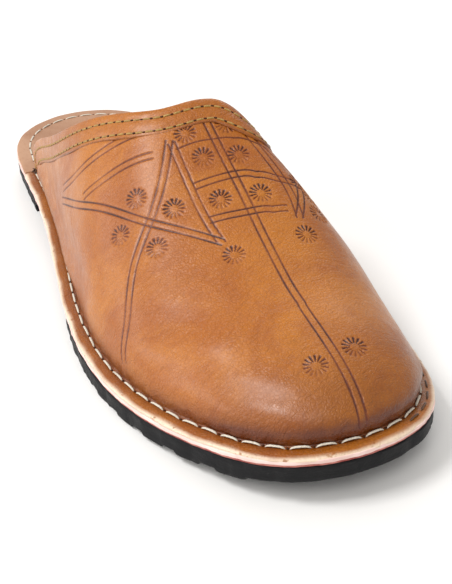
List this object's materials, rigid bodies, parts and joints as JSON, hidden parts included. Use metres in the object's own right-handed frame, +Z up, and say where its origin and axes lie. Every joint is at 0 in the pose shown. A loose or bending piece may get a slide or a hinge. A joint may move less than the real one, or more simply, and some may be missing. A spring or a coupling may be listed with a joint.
{
  "type": "babouche slipper",
  "caption": "Flat leather mule with a tan upper sewn down through its turned-out edge, open heel, pale midsole edge and ribbed black rubber sole; right foot.",
  "frame": {"origin": "on the floor, in the middle of the shoe's box seen from above", "axes": "+Z up, +Y from toe to heel along the foot's axis, +X towards the inner (big-toe) side of this right shoe"},
  "size_m": [0.102, 0.2848, 0.0761],
  "materials": {
    "tan_leather": "smooth vegetable-tanned leather, softly glossy, darker burnished at the toe and crease, with tooled lines",
    "insole_leather": "matte pinkish tan lining leather",
    "pale_leather": "pale pink cut leather edge, matte",
    "heel_lift_leather": "orange-brown leather board, matte",
    "sole_rubber": "matte black rubber",
    "cream_thread": "waxed cream thread",
    "olive_thread": "olive-brown thread"
  },
  "bodies": {
    "root": {"heel_block": "sole_rubber", "heel_lift": "heel_lift_leather", "outsole": "sole_rubber", "midsole": "pale_leather", "footbed": "insole_leather", "upper": "tan_leather"}
  },
  "joints": []
}
